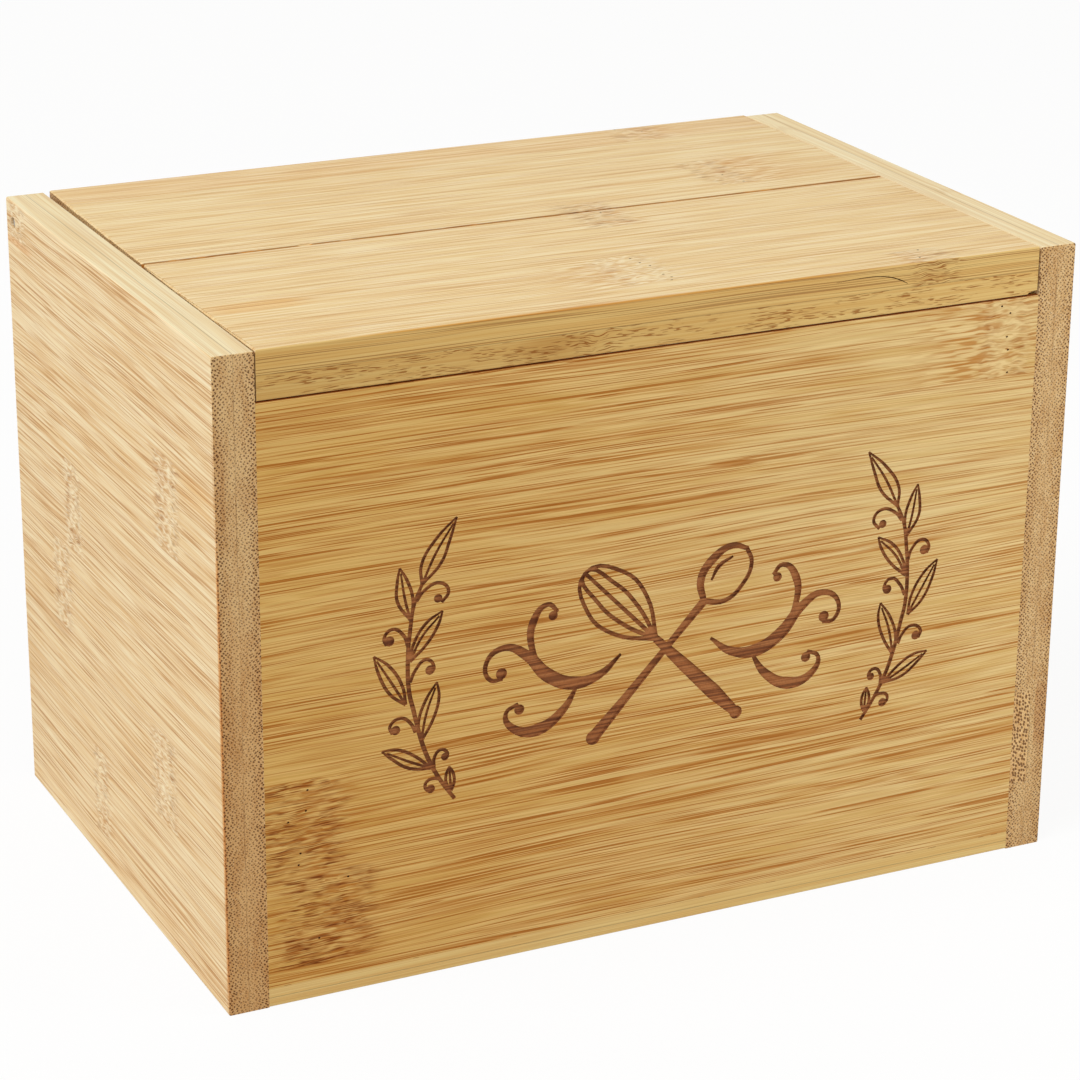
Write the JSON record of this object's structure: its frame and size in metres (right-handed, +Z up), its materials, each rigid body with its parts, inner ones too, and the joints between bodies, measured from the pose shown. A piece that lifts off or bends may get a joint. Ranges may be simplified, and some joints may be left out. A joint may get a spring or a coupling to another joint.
{
  "type": "recipe card box",
  "caption": "Lidded bamboo box for recipe cards, with a rear pin hinge, a saw-cut card slot across the lid and an engraved front.",
  "frame": {"origin": "centre of the underside", "axes": "+X to the right seen from the front, +Y to the back where the hinge pins are, +Z up; the lid is closed"},
  "size_m": [0.178, 0.118, 0.1283],
  "materials": {
    "pale_bamboo": "satin clear oil over pale bamboo",
    "golden_bamboo": "satin clear oil over golden bamboo, laser engraved on the front",
    "hinge_steel": "plain drawn wire",
    "dowel_wood": "bare turned wood"
  },
  "bodies": {
    "carcass": {"left_end_panel": "pale_bamboo", "right_end_panel": "pale_bamboo", "front_panel": "golden_bamboo", "back_panel": "golden_bamboo", "base_board": "pale_bamboo", "left_hinge_pin": "hinge_steel", "right_hinge_pin": "hinge_steel", "front_left_dowels": "dowel_wood", "front_right_dowels": "dowel_wood", "back_left_dowels": "dowel_wood", "back_right_dowels": "dowel_wood"},
    "lid": {"lid": "pale_bamboo"}
  },
  "joints": [
    {"name": "lid_hinge", "type": "hinge", "parent": "carcass", "child": "lid", "pos_m": [0, 0.0546, 0.1235], "axis": [-1, 0, 0], "range_deg": [0, 95]}
  ]
}
